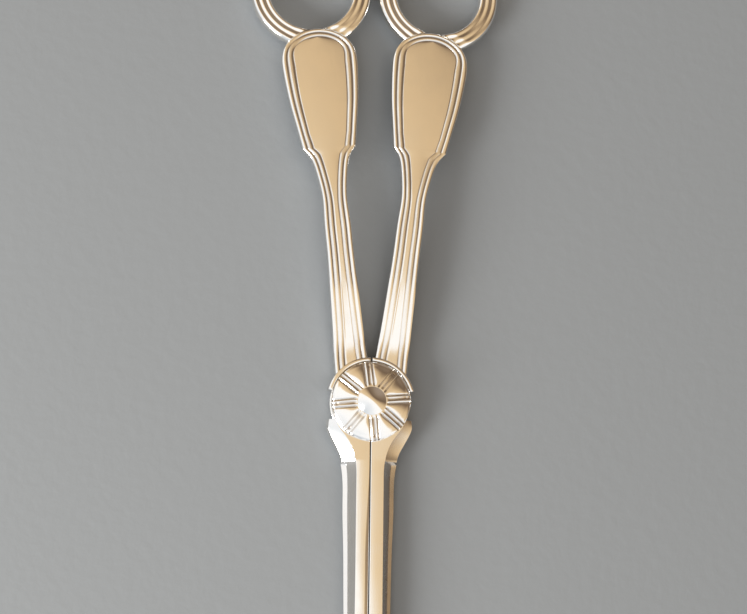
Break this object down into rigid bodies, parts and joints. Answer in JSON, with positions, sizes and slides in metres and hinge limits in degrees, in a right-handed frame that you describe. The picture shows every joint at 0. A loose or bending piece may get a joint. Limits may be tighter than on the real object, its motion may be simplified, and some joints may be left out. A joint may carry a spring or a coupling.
{
  "type": "ice tongs",
  "caption": "Scissor-action ice tongs with reeded finger rings, fiddle-shaped threaded handles, a fluted rosette over the pivot and flat-topped bevelled jaws with gripping teeth.",
  "frame": {"origin": "on the pivot's axis, in the flat rear face of the round nut, which is also the surface that the tongs lie on", "axes": "+Y along the tongs towards the finger rings, -Y towards the jaws, +Z out of the front face with the domed screw head, +X to the right seen from the front"},
  "size_m": [0.0624, 0.1981, 0.0091],
  "materials": {
    "ring_plate": "polished silver plate, tarnished in the valleys between the reeds",
    "handle_plate": "polished silver plate with fine table scratches",
    "jaw_plate": "polished silver plate with fine lengthways polishing lines",
    "rosette_plate": "bright silver plate, darker in the lines between the flutes",
    "pivot_plate": "bright silver plate, worn smooth",
    "pin_brass": "plain drawn brass",
    "washer_bronze": "smooth rolled bronze",
    "spring_steel": "oiled spring steel"
  },
  "bodies": {
    "left_lever": {"left_finger_ring": "ring_plate", "left_handle": "handle_plate", "right_jaw": "jaw_plate", "front_rosette": "rosette_plate", "front_rosette_pins": "pin_brass", "pivot_screw": "pivot_plate", "pivot_nut": "pivot_plate", "spring_washer": "spring_steel", "hub_washer": "washer_bronze"},
    "right_lever": {"right_finger_ring": "ring_plate", "right_handle": "handle_plate", "left_jaw": "jaw_plate", "rear_rosette": "rosette_plate", "rear_rosette_pins": "pin_brass"}
  },
  "joints": [
    {"name": "pivot", "type": "hinge", "parent": "left_lever", "child": "right_lever", "pos_m": [0, 0, 0.0036], "axis": [0, 0, -1], "range_deg": [0, 30]}
  ]
}
